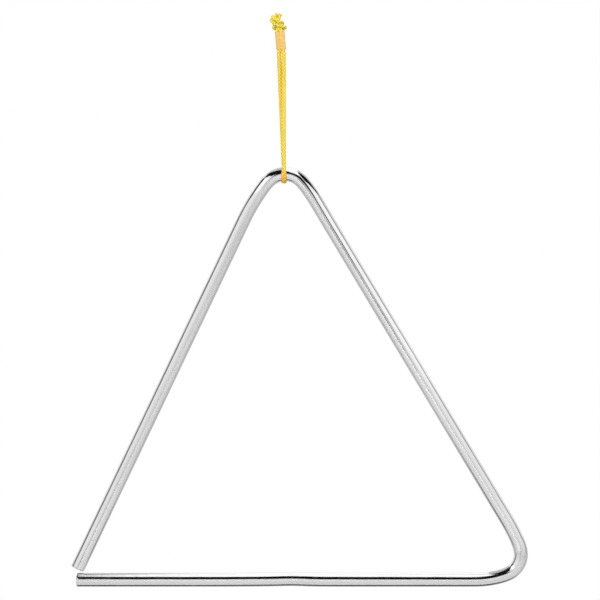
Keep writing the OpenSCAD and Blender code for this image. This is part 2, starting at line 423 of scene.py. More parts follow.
def tied_knot():
    """The two strands of the tight knot, right one first, from the sleeve's top to the tails' tips."""
    facing = math.radians(KNOT_FACING_DEG)
    route = evenly(loose_knot(), KNOT_STEP)
    strands = pulled_tight(paired(route, KNOT_PAIR_OFFSET, [math.cos(facing), -math.sin(facing), 0]))
    strands = [turned(strand, KNOT_FACING_DEG, "Z") for strand in strands]
    low, high = knot_heights(strands)
    kept = []
    for whole in strands:
        first = np.flatnonzero(whole[:, 2] > low)[0]
        last = np.flatnonzero(whole[:, 2] < high + TAIL_RISE)[-1]
        strand = turned(whole[first:last + 1] - [0, 0, low], KNOT_TILT_DEG, "Y")
        shaped_knot(strand, strand[:, 2] / (high - low))
        kept.append(evenly(strand, KNOT_STEP / 2) + [0, 0, TUBE_TOP + KNOT_SEAT])
    kept = sorted(kept, key=lambda strand: -strand[0, 0])
    for side, strand in zip((1, -1), kept):
        along = lengths_along(strand)
        straight = np.stack([np.full(len(along), side * STRAND_SIDE), 0 * along, TUBE_TOP + along], 1)
        share = np.clip(along / KNOT_FEET_LENGTH, 0, 1)[:, None]
        strand[:] = straight + share * share * (3 - 2 * share) * (strand - straight)
    return kept


def led_down(knot_strand, side):
    """From a tail's tip down to the bar: side 1 ends in front of the bar, -1 behind it. A bow above 1
    keeps the strands apart a little longer than straight lines would."""
    bow = 1.05
    held = np.array([[side * STRAND_SIDE, 0, z] for z in np.arange(TUBE_TOP, TUBE_LOW, -0.001)])
    shares = np.linspace(0, 1, 60)[:, None]
    top = np.array([CORD_SHIFT + MOUTH_SHIFT + side * MOUTH_SIDE, 0, MOUTH_Z])
    bottom = np.array([LOOP_X, -side * LOOP_R, LOOP_RISE - HANG_LENGTH])
    bowed = np.concatenate([shares ** bow, shares, shares], 1)
    return np.concatenate([leaned(np.concatenate([knot_strand[::-1], held])), top + bowed * (bottom - top)])


def squeezed(height, lengths):
    """How thick the cord is at each point, as a share of its free radius: thinner in the sleeve and the
    knot, towards the bar, and at the tails' tips."""
    free, in_sleeve, in_knot, pulled = 1.06, 0.89, KNOT_CORD_R / CORD_R, 0.99
    sleeve_start, sleeve_fade, knot_lead, knot_fade, pulled_length = 0.0005, 0.002, 0.002, 0.003, 0.060
    sleeve_share = np.clip((height - sleeve_start) / sleeve_fade, 0, 1)
    knot_share = np.clip((height - TUBE_TOP + knot_lead) / knot_fade, 0, 1)
    pulled_share = np.clip(-height / pulled_length, 0, 1)
    squeeze = (free - sleeve_share * (free - in_sleeve) - knot_share * (in_sleeve - in_knot)
               - pulled_share * (free - pulled))
    tip, tip_length = 0.8, 0.0006
    from_tip = np.minimum(lengths, lengths[-1] - lengths)
    return squeeze * (tip + (1 - tip) * np.clip(from_tip / tip_length, 0, 1))


def tinted_and_loop_shaded(height, lengths):
    """How far the cord is tinted orange and darkened at each point: least in the knot, more on the left
    strand, most in the loop, where the tint is painted shade.
    """
    in_sleeve, hanging, left_more = 0.25, 0.3, 0.2
    knot_fade, loop_top, loop_fade, left_start, left_fade = 0.02, -0.064, 0.008, 0.5, 1 / 200
    left_side = np.clip((lengths / lengths[-1] - left_start) / left_fade, 0, 1)
    warmth = np.clip(in_sleeve - height / knot_fade, 0, hanging) + left_more * left_side
    return np.maximum(warmth, np.clip((loop_top - height) / loop_fade, 0, 1))


def cord_route():
    """The whole cord in one line, from the right strand's tail down, round the bar and up to the other
    tail. Returns the points and, for each, how much the cord is squeezed there, how far it is tinted orange
    (painted shade in the loop), and where and how much it is pressed flat on the bar."""
    right, left = tied_knot()
    round_bar = np.radians(np.linspace(6, 174, 40))
    loop = np.stack([np.full(len(round_bar), LOOP_X), -LOOP_R * np.cos(round_bar),
                     LOOP_RISE - HANG_LENGTH - LOOP_R * np.sin(round_bar)], 1)
    rough = np.concatenate([led_down(right, 1), loop, led_down(left, -1)[::-1]])
    route = eased(rough, step=0.00025, width=0.0005)
    height = turned(route - [CORD_SHIFT, 0, 0], HELD_LEAN_DEG, "Y")[:, 2]
    lengths = lengths_along(route)
    to_bar = np.stack([0 * height, -route[:, 1], -HANG_LENGTH - route[:, 2]], 1)
    to_bar /= np.linalg.norm(to_bar, axis=1)[:, None]
    press_height = 0.004
    pressed = np.clip((-HANG_LENGTH + press_height - route[:, 2]) / press_height, 0, 1)
    return route, squeezed(height, lengths), tinted_and_loop_shaded(height, lengths), to_bar * pressed[:, None]


cord_line, cord_squeeze, cord_warmth, cord_press = cord_route()
cord_lengths = lengths_along(cord_line)
below_neck = np.flatnonzero(cord_line[:, 2] < NECK_END_Z)
RIGHT_CUT, LEFT_CUT = cord_lengths[below_neck[0]], cord_lengths[below_neck[-1]]


# Cord: braid

def braid_tree():
    """Yarns that wind both ways round a core and pass over and under each other."""
    tree, given, close = geometry_tree("braid", From=0.0, To=1.0, Cord_Radius=CORD_R, Yarn_Width=0.00122,
                                       Yarn_Thickness=0.00072, Pitch=0.0078, Yarns_Each_Way=4,
                                       Weave_Depth=0.0002, Core_Radius=0.0007, Press_Depth=0.35,
                                       Press_Width=0.34, Step=0.0003)
    curve = stored(tree, curve_of(tree, given("Path")), "along", progress(tree, "Length"))
    curve = with_directions(tree, curve)
    curve = add_node(tree, "GeometryNodeTrimCurve", {0: curve, 4: given("From"), 5: given("To")},
                     mode="LENGTH").outputs[0]
    curve = add_node(tree, "GeometryNodeResampleCurve", {"Curve": curve, "Length": given("Step")},
                     mode="LENGTH").outputs[0]
    curve = stored(tree, curve, "middle", position(tree))
    core = swept(tree, curve, circle(tree, 10, given("Core Radius")), named(tree, "squeeze"))
    # The core between the yarns gets no painted light, so it shows the painted groove shade.
    core = stored(tree, core, "painted_light_share", 0.0)
    yarns = yarn_meshes(tree, given, wound_yarns(tree, given, curve))
    close(pressed_flat(tree, given, joined(tree, core, yarns)))
    return tree


def wound_yarns(tree, given, curve):
    """The cord's line, copied for each yarn and wound round the core. Half of the yarns wind the other
    way, and each rises and dives as it passes over and under those."""
    each_way = given("Yarns Each Way")
    both_ways = number(tree, "MULTIPLY", each_way, 2.0)
    copies = add_node(tree, "GeometryNodeDuplicateElements", {"Geometry": curve, "Amount": both_ways},
                      domain="SPLINE")
    curve = stored(tree, copies.outputs["Geometry"], "yarn", copies.outputs["Duplicate Index"])
    yarn = named(tree, "yarn")
    second = number(tree, "GREATER_THAN", yarn, number(tree, "SUBTRACT", each_way, 0.5))
    way = number(tree, "MULTIPLY_ADD", second, -2.0, 1.0)
    full_turns = number(tree, "MULTIPLY", named(tree, "along"), 2 * math.pi)
    turn = number(tree, "DIVIDE", full_turns, given("Pitch"))
    start = number(tree, "DIVIDE", number(tree, "MULTIPLY", yarn, 2 * math.pi), each_way)
    outward, _ = outwards(tree, number(tree, "MULTIPLY_ADD", way, turn, start))
    over = number(tree, "MULTIPLY", number(tree, "COSINE", number(tree, "MULTIPLY", turn, each_way)), way)
    half_thickness = number(tree, "MULTIPLY", given("Yarn Thickness"), 0.5)
    bed = number(tree, "SUBTRACT", number(tree, "SUBTRACT", given("Cord Radius"), half_thickness),
                 given("Weave Depth"))
    bed = number(tree, "ADD", bed, number(tree, "MULTIPLY", over, given("Weave Depth")))
    curve = stored(tree, stored(tree, curve, "outward", outward), "over", over)
    curve = moved(tree, curve, scaled(tree, outward, number(tree, "MULTIPLY", bed, named(tree, "squeeze"))))
    normals = {"Curve": curve, "Normal": named_vector(tree, "outward")}
    return add_node(tree, "GeometryNodeSetCurveNormal", normals, mode="FREE").outputs[0]


def yarn_meshes(tree, given, curve):
    """Flat yarns on their wound lines. Each point keeps its place in the yarn for the filaments' pattern,
    and its share of painted light against painted shade: most on the outer side of a yarn that passes over."""
    profile = circle(tree, 10, 0.5)
    profile = stored(tree, profile, "section", position(tree))
    flat = combined(tree, given("Yarn Thickness"), given("Yarn Width"), 1.0)
    flattened = vector(tree, "MULTIPLY", position(tree), flat)
    profile = add_node(tree, "GeometryNodeSetPosition",
                       {"Geometry": profile, "Position": flattened}).outputs[0]
    yarns = swept(tree, curve, profile, named(tree, "squeeze"))
    section = parts(tree, named_vector(tree, "section"))
    filament = combined(tree, section["X"], section["Y"], named(tree, "along"))
    yarns = stored(tree, yarns, "filament", filament)
    outer_side = spread(tree, section["X"], 0.18, 0.47, 0.0, 1.0)
    passing = spread(tree, named(tree, "over"), -0.5, 0.4, 0.1, 1.0)
    return stored(tree, yarns, "painted_light_share", number(tree, "MULTIPLY", outer_side, passing))


def pressed_flat(tree, given, mesh):
    """The braid, wider and flatter where its line carries a press direction."""
    press = named_vector(tree, "press")
    away = vector(tree, "SUBTRACT", position(tree), named_vector(tree, "middle"))
    wider = scaled(tree, away, number(tree, "MULTIPLY", dot(tree, press, press), given("Press Width")))
    both = number(tree, "ADD", given("Press Width"), given("Press Depth"))
    inwards = number(tree, "MULTIPLY", number(tree, "MULTIPLY", dot(tree, away, press), both), -1.0)
    return moved(tree, mesh, vector(tree, "ADD", wider, scaled(tree, press, inwards)))


def fray_tree():
    """Loose filaments that stand out of a cut tail, fanned and of uneven length."""
    tree, given, close = geometry_tree("frayed tail", Filaments=70, Tail_Radius=0.0008, Fan=0.0011,
                                       Filament_Radius=0.00006, Shortest=0.35, Waviness=0.0003,
                                       Waves=7.0, Tip_Thinning=0.6, Seed=5)
    curve = add_node(tree, "GeometryNodeResampleCurve", {"Curve": curve_of(tree, given("Path")), "Count": 9},
                     mode="COUNT").outputs[0]
    curve = with_directions(tree, stored(tree, curve, "out", progress(tree, "Factor")))
    copies = add_node(tree, "GeometryNodeDuplicateElements",
                      {"Geometry": curve, "Amount": given("Filaments")}, domain="SPLINE")
    index = copies.outputs["Duplicate Index"]

    def chance(low, high, salt):
        made = add_node(tree, "FunctionNodeRandomValue", {2: low, 3: high, "ID": index}, data_type="FLOAT")
        tree.links.new(number(tree, "ADD", given("Seed"), salt), made.inputs["Seed"])
        return made.outputs[1]

    curve = stored(tree, copies.outputs["Geometry"], "angle", chance(0.0, 2 * math.pi, 0.0))
    curve = stored(tree, curve, "reach", number(tree, "SQRT", chance(0.0, 1.0, 11.0)))
    curve = stored(tree, curve, "whole", chance(given("Shortest"), 1.0, 23.0))
    angle, out = named(tree, "angle"), named(tree, "out")
    outward, across = outwards(tree, angle)
    bend = number(tree, "MULTIPLY", out, out)
    fan = number(tree, "MULTIPLY_ADD", bend, given("Fan"), given("Tail Radius"))
    fan = number(tree, "MULTIPLY", fan, named(tree, "reach"))
    phase = number(tree, "MULTIPLY_ADD", out, given("Waves"), number(tree, "MULTIPLY", angle, 5.0))
    wave = number(tree, "MULTIPLY", number(tree, "SINE", phase), out)
    wave = number(tree, "MULTIPLY", wave, given("Waviness"))
    curve = moved(tree, curve, vector(tree, "ADD", scaled(tree, outward, fan), scaled(tree, across, wave)))
    curve = add_node(tree, "GeometryNodeTrimCurve", {0: curve, 2: 0.0, 3: named(tree, "whole")},
                     mode="FACTOR").outputs[0]
    thinning = number(tree, "MULTIPLY", given("Tip Thinning"), -1.0)
    thinner = number(tree, "MULTIPLY_ADD", out, thinning, 1.0)
    mesh = swept(tree, curve, circle(tree, 5, given("Filament Radius")), thinner)
    # Painted shade on the filaments, strongest at their roots in the cord and fading towards their tips.
    close(stored(tree, mesh, "painted_light_share", number(tree, "MULTIPLY_ADD", out, 0.6, 0.4)))
    return tree


# Sleeve

def sleeve_ring(reach, height):
    """One ring of the sleeve: round over each strand, dished between them, and slightly uneven. Returns
    its points and their angles."""
    half_width, aside, dish, tilt = 0.00131, 0.00023, 0.00016, 0.0002
    arc = np.radians(np.linspace(-90, 90, 17))
    share = np.linspace(0, 1, 9)[1:-1]
    right = np.stack([half_width + reach * np.cos(arc), reach * np.sin(arc)], 1)
    top = np.stack([half_width * (1 - 2 * share), reach - dish * np.sin(math.pi * share)], 1)
    half = np.concatenate([right, top])
    ring = np.concatenate([half, -half])
    angle = np.arctan2(ring[:, 1], ring[:, 0])
    up = (height - TUBE_LOW) / SLEEVE_LENGTH
    unevenness = 0.012 * np.sin(3 * angle + 9 * up) + 0.008 * np.sin(5 * angle - 14 * up)
    ring *= 1 + unevenness[:, None]
    ring[:, 0] += aside
    return np.column_stack([ring, height + tilt * np.cos(angle) * (2 * up - 1)]), angle


def sleeve_outline():
    """The wall's section, as reaches and heights: lower lip, outside, upper lip and inside. Both mouths
    flare a little."""
    wall, gap, flare, lip = 0.0003, 0.00008, 0.00012, 0.00008
    low_flare_length, top_flare_length = 0.0015, 0.0012
    insets, middle_inset, middle_count = [0.0, 0.0003, 0.0009, 0.0018], 0.003, 8
    heights = [TUBE_LOW + inset for inset in insets]
    heights += list(np.linspace(TUBE_LOW + middle_inset, TUBE_TOP - middle_inset, middle_count))
    heights += [TUBE_TOP - inset for inset in reversed(insets)]
    reaches = []
    for height in heights:
        low_end = max(0.0, 1 - (height - TUBE_LOW) / low_flare_length)
        top_end = max(0.0, 1 - (TUBE_TOP - height) / top_flare_length)
        reaches.append(STRAND_R + gap + flare * low_end ** 2 + 0.5 * flare * top_end ** 2)
    outer = [(reach + wall, height) for reach, height in zip(reaches, heights)]
    inner = list(zip(reaches, heights))[::-1]
    low_lip = (reaches[0] + wall / 2, TUBE_LOW - lip)
    top_lip = (reaches[-1] + wall / 2, TUBE_TOP + lip)
    return [low_lip] + outer + [top_lip] + inner


def sleeve_mesh():
    """A thin tube drawn over both strands. Each point also keeps its place on a plain straight tube."""
    plain_r = 0.003
    rings, straights = [], []
    for reach, height in sleeve_outline():
        points, angle = sleeve_ring(reach, height)
        rings.append(leaned(points))
        straights.append(np.column_stack([plain_r * np.cos(angle), plain_r * np.sin(angle), points[:, 2]]))
    around, count = len(rings[0]), len(rings)
    faces = []
    for ring in range(count):
        here, after = ring * around, (ring + 1) % count * around
        for corner in range(around):
            beside = (corner + 1) % around
            faces.append((here + corner, here + beside, after + beside, after + corner))
    mesh = bpy.data.meshes.new("sleeve")
    mesh.from_pydata([tuple(point) for point in np.concatenate(rings)], [], faces)
    straight = mesh.attributes.new("straight", "FLOAT_VECTOR", "POINT")
    straight.data.foreach_set("vector", np.float32(np.concatenate(straights)).ravel())
    mesh.shade_smooth()
    mesh.materials.append(CLEAR)
    return mesh


# Bar

def bend_line(start, heading_deg, pieces, step=0.0005):
    """Walks a flat line of straights and arcs. Each piece is a length, a radius and a turn in degrees,
    clockwise: a straight has no radius and no turn, and an arc has no length."""
    points, at, heading = [np.array(start, float)], np.array(start, float), math.radians(heading_deg)
    for length, radius, turn in pieces:
        turn = math.radians(turn)
        count = max(2, math.ceil((length or radius * turn) / step))
        for _ in range(count):
            half = turn / count / 2
            chord = length / count if length else 2 * radius * math.sin(half)
            heading -= half
            at = at + chord * np.array([math.cos(heading), math.sin(heading)])
            heading -= half
            points.append(at)
    return np.array(points)


def bent_by_hand(flat):
    """Moves the line slightly outside of its arcs, as the real bar is bent: the right leg towards its
    top, and the top bend as a whole and right of its middle."""
    leg_out, leg_start, leg_height = 0.0003, 0.01, 0.2
    to_right, down = np.clip(flat[:, 0] / leg_start, 0, 1), np.clip(-flat[:, 1] / leg_height, 0, 1)
    flat[:, 0] += leg_out * to_right * (1 - down)
    for rise, middle, width in ((0.0002, -0.004, 0.02), (0.0003, 0.005, 0.008)):
        flat[:, 1] += rise * np.exp(-((flat[:, 0] - middle) / width) ** 2)


def bar_line():
    """Centre-line of the bar, from the left leg's cut end over the top bend to the base's cut end."""
    tan, sin, cos, rad = math.tan, math.sin, math.cos, math.radians
    left, right = rad(LEFT_LEG_DEG), rad(RIGHT_LEG_DEG)
    top_left = [(0, APEX_BEND_R, LEFT_LEG_DEG - APEX_LEFT_EASE_DEG),
                (0, APEX_LEFT_EASE_R, APEX_LEFT_EASE_DEG)]
    top_right = [(0, APEX_BEND_R, RIGHT_LEG_DEG - APEX_RIGHT_EASE_DEG),
                 (0, APEX_RIGHT_EASE_R, APEX_RIGHT_EASE_DEG)]
    corner_turn = 180 - RIGHT_LEG_DEG
    corner = [(0, CORNER_LEG_EASE_R, CORNER_LEG_EASE_DEG),
              (0, CORNER_BEND_R, corner_turn - CORNER_LEG_EASE_DEG - CORNER_BASE_EASE_DEG),
              (0, CORNER_BASE_EASE_R, CORNER_BASE_EASE_DEG)]
    height = CORNER_SPAN / (1 / tan(left) + 1 / tan(right))
    left_end = bend_line((0, 0), 0, top_left)[-1]
    right_end = bend_line((0, 0), 0, top_right)[-1]
    span, step = left_end[0] + right_end[0], right_end[1] - left_end[1]
    right_reach = (span * sin(left) - step * cos(left)) / sin(left + right)
    left_reach = (span * sin(right) + step * cos(right)) / sin(left + right)
    corner_end = bend_line((0, 0), 0, corner)[-1]
    leg_reach = corner_end[0] + corner_end[1] / tan(rad(corner_turn))
    base_reach = -corner_end[1] / sin(rad(corner_turn))
    end_reach = (BAR_R + OPEN_GAP + BAR_R * cos(left)) / sin(left)
    left_run = top_left + [(height / sin(left) - left_reach - end_reach, 0, 0)]
    right_run = (top_right + [(height / sin(right) - right_reach - leg_reach, 0, 0)] + corner
                 + [(CORNER_SPAN - base_reach - BASE_END_INSET, 0, 0)])
    left_side = bend_line((0, 0), 0, left_run) * [-1, 1]
    flat = np.concatenate([left_side[::-1], bend_line((0, 0), 0, right_run)[1:]])
    bent_by_hand(flat)
    line = np.stack([flat[:, 0] + HANG_SHIFT, np.zeros(len(flat)), flat[:, 1] - HANG_LENGTH], 1)
    return eased(line, step=0.0005, width=0.0022)


def bar_tree():
    """A round bar swept along a path, thinner where the path says so, with flat cut ends."""
    tree, given, close = geometry_tree("drawn bar", Bar_Radius=BAR_R, Sides=96)
    curve = stored(tree, curve_of(tree, given("Path")), "along", progress(tree, "Length"))
    profile = circle(tree, given("Sides"), given("Bar Radius"))
    profile = stored(tree, profile, "ring", position(tree))
    mesh = swept(tree, curve, profile, named(tree, "thickness"))
    ring = parts(tree, named_vector(tree, "ring"))
    mesh = stored(tree, mesh, "straight", combined(tree, ring["X"], ring["Y"], named(tree, "along")))
    corners = add_node(tree, "GeometryNodeInputMeshFaceNeighbors").outputs["Vertex Count"]
    cap = number(tree, "GREATER_THAN", corners, 4.0)
    mesh = stored(tree, mesh, "cut_face", cap, domain="FACE")
    angle = add_node(tree, "GeometryNodeInputMeshEdgeAngle").outputs["Unsigned Angle"]
    sharp = number(tree, "GREATER_THAN", angle, math.radians(42))
    mesh = stored(tree, mesh, "sharp_edge", sharp, "BOOLEAN", "EDGE")
    close(mesh)
    return tree


def bar_rings(line):
    """Places of the bar's rings, close together in the bends and at both chamfered ends, and how thick
    the bar is at each."""
    bend_step_deg, straight_step, end_length = 1.6, 0.003, 0.002
    whole = lengths_along(line)[-1]
    directions = np.gradient(line, axis=0)
    directions /= np.linalg.norm(directions, axis=1)[:, None]
    bending = np.r_[0, np.degrees(np.arccos(np.clip((directions[1:] * directions[:-1]).sum(1), -1, 1)))]
    effort = np.cumsum(bending / bend_step_deg + np.r_[0, np.diff(lengths_along(line))] / straight_step)
    rings = np.interp(np.linspace(0, effort[-1], math.ceil(effort[-1]) + 1), effort, lengths_along(line))
    end = END_CHAMFER * np.array([0, 0.12, 0.4, 0.84, 1.0, 1.2, 2.4])
    cut_back = END_CHAMFER * np.array([1.0, 0.84, 0.56, 0.14, 0.04, 0, 0])
    shape = (BAR_R - cut_back) / BAR_R
    middle = rings[(rings > end_length) & (rings < whole - end_length)]
    rings = np.concatenate([end, middle, (whole - end)[::-1]])
    thickness = np.ones(len(rings))
    thickness[:len(end)], thickness[-len(end):] = shape, shape[::-1]
    return at_lengths(line, rings), thickness


# Materials

def material(name):
    """A new material, with its node tree and its main shader."""
    made = bpy.data.materials.new(name)
    made.use_nodes = True
    return made, made.node_tree, made.node_tree.nodes["Principled BSDF"]


def feed(shader, **values):
    """Links values to the shader's inputs."""
    for name, value in values.items():
        shader.id_data.links.new(value, shader.inputs[name.replace("_", " ")])


def bumped(tree, height, strength, distance):
    """The normal of a surface with a fine relief."""
    values = {"Strength": strength, "Distance": distance, "Height": height}
    return add_node(tree, "ShaderNodeBump", values).outputs[0]


def attribute(tree, name, output="Fac"):
    """A piece's own attribute, read inside a material."""
    return add_node(tree, "ShaderNodeAttribute", attribute_name=name).outputs[output]


def noise(tree, where, scale, detail, roughness=0.5):
    """Soft noise about 0.5."""
    return add_node(tree, "ShaderNodeTexNoise", {"Vector": where, "Scale": scale, "Detail": detail,
                                                 "Roughness": roughness}).outputs["Fac"]


def mixed(tree, share, first, second, blend="MIX"):
    """Two colours mixed by a share."""
    return add_node(tree, "ShaderNodeMix", {0: share, 6: first, 7: second}, data_type="RGBA",
                    blend_type=blend).outputs[2]


def effect_group(name, **inputs):
    """A shader group with a Place, the named inputs and one Value. Returns the tree, a function that
    gives an input's socket, and a function that ends the group."""
    tree = bpy.data.node_groups.new(name, "ShaderNodeTree")
    tree.interface.new_socket("Place", in_out="INPUT", socket_type="NodeSocketVector")
    for label, value in inputs.items():
        socket = tree.interface.new_socket(label, in_out="INPUT", socket_type="NodeSocketFloat")
        socket.default_value = value
    tree.interface.new_socket("Value", in_out="OUTPUT", socket_type="NodeSocketFloat")
    entry, end = tree.nodes.new("NodeGroupInput"), tree.nodes.new("NodeGroupOutput")

    def close(value):
        tree.links.new(value, end.inputs["Value"])

    return tree, lambda label: entry.outputs[label], close


def fine_lines_group():
    """Fine lines that run along a place's third number, between a low and a high value."""
    tree, given, close = effect_group("fine lines", Across=1000.0, Along=10.0, Low=0.0, High=1.0)
    stretch = combined(tree, given("Across"), given("Across"), given("Along"))
    lines = noise(tree, vector(tree, "MULTIPLY", given("Place"), stretch), 1.0, 4.0, 0.6)
    close(spread(tree, lines, 0.3, 0.7, given("Low"), given("High")))
    return tree


def soft_patches_group():
    """Soft uneven patches between a low and a high value."""
    tree, given, close = effect_group("soft patches", Scale=100.0, Low=0.0, High=1.0)
    close(spread(tree, noise(tree, given("Place"), given("Scale"), 2.0), 0.3, 0.7,
                 given("Low"), given("High")))
    return tree


FINE_LINES, SOFT_PATCHES = fine_lines_group(), soft_patches_group()


def effect(tree, group, place, **values):
    """One use of a shader group, with its own values."""
    return add_node(tree, "ShaderNodeGroup", {"Place": place, **values}, node_tree=group).outputs[0]


def chrome():
    """Bright chrome over drawn steel: faint lines along the bar, cloudy patches and dull sawn ends."""
    made, tree, shader = material("chromed_steel")
    dark_chrome, bright_chrome = (0.80, 0.80, 0.803, 1), (0.88, 0.88, 0.883, 1)
    sawn_steel, end_roughness = (0.62, 0.615, 0.61, 1), 0.3
    straight, cut = attribute(tree, "straight", "Vector"), attribute(tree, "cut_face")
    lines = effect(tree, FINE_LINES, straight, Across=2600.0, Along=14.0)
    bands = effect(tree, FINE_LINES, straight, Across=650.0, Along=22.0)
    cloud = effect(tree, SOFT_PATCHES, straight, Scale=210.0, Low=0.0, High=0.05)
    across_end = vector(tree, "MULTIPLY", straight, (1.0, 0.06, 0.0))
    saw_marks = effect(tree, FINE_LINES, across_end, Across=7000.0)
    plated = mixed(tree, bands, dark_chrome, bright_chrome)
    rough = number(tree, "ADD", number(tree, "MULTIPLY_ADD", lines, 0.07, 0.025), cloud)
    marks = number(tree, "MULTIPLY", number(tree, "MULTIPLY", saw_marks, cut), 6.0)
    relief = number(tree, "ADD", number(tree, "MULTIPLY_ADD", bands, 5.0, lines), marks)
    shader.inputs["Metallic"].default_value = 1.0
    feed(shader, Base_Color=mixed(tree, cut, plated, sawn_steel),
         Roughness=number(tree, "MULTIPLY_ADD", cut, end_roughness, rough),
         Normal=bumped(tree, relief, 0.5, 0.000004))
    return made


def braided_yarn():
    """Yellow braid: bundles of fine filaments, unevenly dyed, with painted orange shade in the grooves
    between them and painted shade between the filaments. An orange tint darkens it further, and in the loop
    that tint is painted shade.
    """
    made, tree, shader = material("yellow_cord")
    painted_groove_shade, painted_flank_shade, painted_filament_shade = (0.49, 0.295, 0.009, 1), (0.81, 0.60, 0.022, 1), (0.60, 0.42, 0.015, 1)
    deep_dye, pale_dye, orange_tint_and_shade = (0.94, 0.88, 0.07, 1), (0.98, 0.98, 0.14, 1), (1.0, 0.66, 0.5, 1)
    filament, painted_light_share = attribute(tree, "filament", "Vector"), attribute(tree, "painted_light_share")
    lines = effect(tree, FINE_LINES, filament, Across=15.0, Along=330.0)
    dye = effect(tree, SOFT_PATCHES, vector(tree, "MULTIPLY", filament, (0.4, 0.4, 110.0)), Scale=1.0)
    # Painted shade: dark orange in the grooves, lighter on the yarns' flanks.
    shade = mixed(tree, spread(tree, painted_light_share, 0.0, 0.5, 0.0, 1.0), painted_groove_shade, painted_flank_shade)
    bright = mixed(tree, dye, deep_dye, pale_dye)
    # The dye colour where the yarns stand out most, the painted shade elsewhere.
    colour = mixed(tree, spread(tree, painted_light_share, 0.35, 1.0, 0.0, 1.0), shade, bright)
    # The orange tint, which in the loop is painted shade.
    tinted_and_shaded = mixed(tree, 1.0, colour, orange_tint_and_shade, "MULTIPLY")
    colour = mixed(tree, attribute(tree, "warmth"), colour, tinted_and_shaded)
    # Painted shade between the filaments, where the fine lines dip.
    colour = mixed(tree, spread(tree, lines, 0.0, 0.5, 0.22, 0.0), colour, painted_filament_shade)
    shader.inputs["Sheen Weight"].default_value = 0.15
    feed(shader, Base_Color=colour, Roughness=spread(tree, lines, 0.0, 1.0, 0.62, 0.42),
         Normal=bumped(tree, lines, 0.8, 0.00005))
    return made


def amber_tube():
    """Thin plastic tube with an amber tint, faintly ribbed. It hides more of the cord at its sides."""
    made, tree, shader = material("clear_tube")
    deep_amber, pale_amber = (0.77, 0.47, 0.115, 1), (0.89, 0.63, 0.225, 1)
    straight = attribute(tree, "straight", "Vector")
    ribs = effect(tree, FINE_LINES, straight, Across=620.0, Along=45.0)
    cloud = effect(tree, SOFT_PATCHES, straight, Scale=420.0, Low=-0.05, High=0.05)
    facing = add_node(tree, "ShaderNodeLayerWeight", {"Blend": 0.35}).outputs["Facing"]
    feed(shader, Base_Color=mixed(tree, ribs, deep_amber, pale_amber),
         Roughness=spread(tree, ribs, 0.0, 1.0, 0.16, 0.3),
         Alpha=number(tree, "ADD", spread(tree, facing, 0.0, 0.9, 0.6, 0.8), cloud),
         Normal=bumped(tree, ribs, 0.5, 0.00004))
    return made


CHROME, YARN, CLEAR = chrome(), braided_yarn(), amber_tube()


# Pieces

ring_places, ring_thickness = bar_rings(bar_line())
bar = grown("bar", bar_tree(), ring_places, {"Material": CHROME}, thickness=ring_thickness)
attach(bar, "bar")
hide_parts("triangle_bar")

sleeve = placed("sleeve", sleeve_mesh())
sleeve.visible_shadow = False
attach(sleeve, "held_end")
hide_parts("clear_sleeve")

BRAID = braid_tree()
FRAY = fray_tree()


def cord_piece(name, first, last):
    """One stretch of the cord, between two lengths along it."""
    piece = grown(name, BRAID, cord_line, {"From": first, "To": last, "Material": YARN},
                  squeeze=cord_squeeze, warmth=cord_warmth, press=cord_press)
    return piece, at_lengths(cord_line, np.linspace(first, last, 160))


def frayed_tail(name, path, seed):
    """The loose filaments of one cut tail. The path runs from the tail's tip inwards."""
    rooted, standing_out, count = 0.0005, 0.0013, 8
    ahead = path[0] - path[3]
    ahead /= np.linalg.norm(ahead)
    points = np.array([path[0] + ahead * reach for reach in np.linspace(-rooted, standing_out, count)])
    piece = grown(name, FRAY, points, {"Material": YARN, "Seed": seed}, warmth=np.zeros(count))
    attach(piece, "held_end")
    return piece


right_end, right_path = cord_piece("right_cord_end", 0.0, RIGHT_CUT)
left_end, left_path = cord_piece("left_cord_end", LEFT_CUT, cord_lengths[-1])
strands, strands_path = cord_piece("hanging_strands", RIGHT_CUT, LEFT_CUT)
right_fray = frayed_tail("right_tail_filaments", right_path, 5)
left_fray = frayed_tail("left_tail_filaments", left_path[::-1], 9)
for end in (right_end, left_end):
    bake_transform(end)
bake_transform(strands)
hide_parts("right_neck_strand", "overhand_knot", "sleeve_strands")
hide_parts("left_neck_strand")
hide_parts("front_strand", "back_strand", "bar_loop")


# Studio

WORLD_LIGHT = 0.75
STUDIO_CENTRE = np.array([0.01, 0, -0.19])
FLOOR_Z, LOW_CARD_Z = -0.47, -0.455
RIM_DISTANCE, NEAR, MIDDLE, FAR = 2.6, 3.0, 3.1, 3.3
BLACK = 0.003


def mirrored(across, up):
    """The direction that the camera sees mirrored at a point of the bar. The point is given as on a
    mirror ball of radius 1: how far it faces to the right and up."""
    depth = math.sqrt(max(0.0, 1 - across * across - up * up))
    return np.array([2 * depth * across, 1 - 2 * depth * depth, 2 * depth * up])


def card(name, points, faces, grey):
    """A card of the studio, lit from itself, that only reflections see. Returns its material."""
    made = bpy.data.materials.new(name)
    made.use_nodes = True
    tree = made.node_tree
    tree.nodes.clear()
    glow = add_node(tree, "ShaderNodeEmission", {"Color": (1, 1, 1, 1), "Strength": grey})
    tree.links.new(glow.outputs[0], add_node(tree, "ShaderNodeOutputMaterial").inputs["Surface"])
    mesh = bpy.data.meshes.new(name)
    mesh.from_pydata([tuple(point) for point in points], [], faces)
    mesh.materials.append(made)
    made_object = placed(name, mesh)
    made_object.visible_camera = False
    made_object.visible_diffuse = False
    made_object.visible_shadow = False
    made_object.visible_transmission = False
    return made


def far_card(name, grey, distance, corners):
    """A flat card far off, its corners given as they show on a mirror ball."""
    points = [STUDIO_CENTRE + distance * mirrored(*corner) for corner in corners]
    card(name, points, [tuple(range(len(points)))], grey)


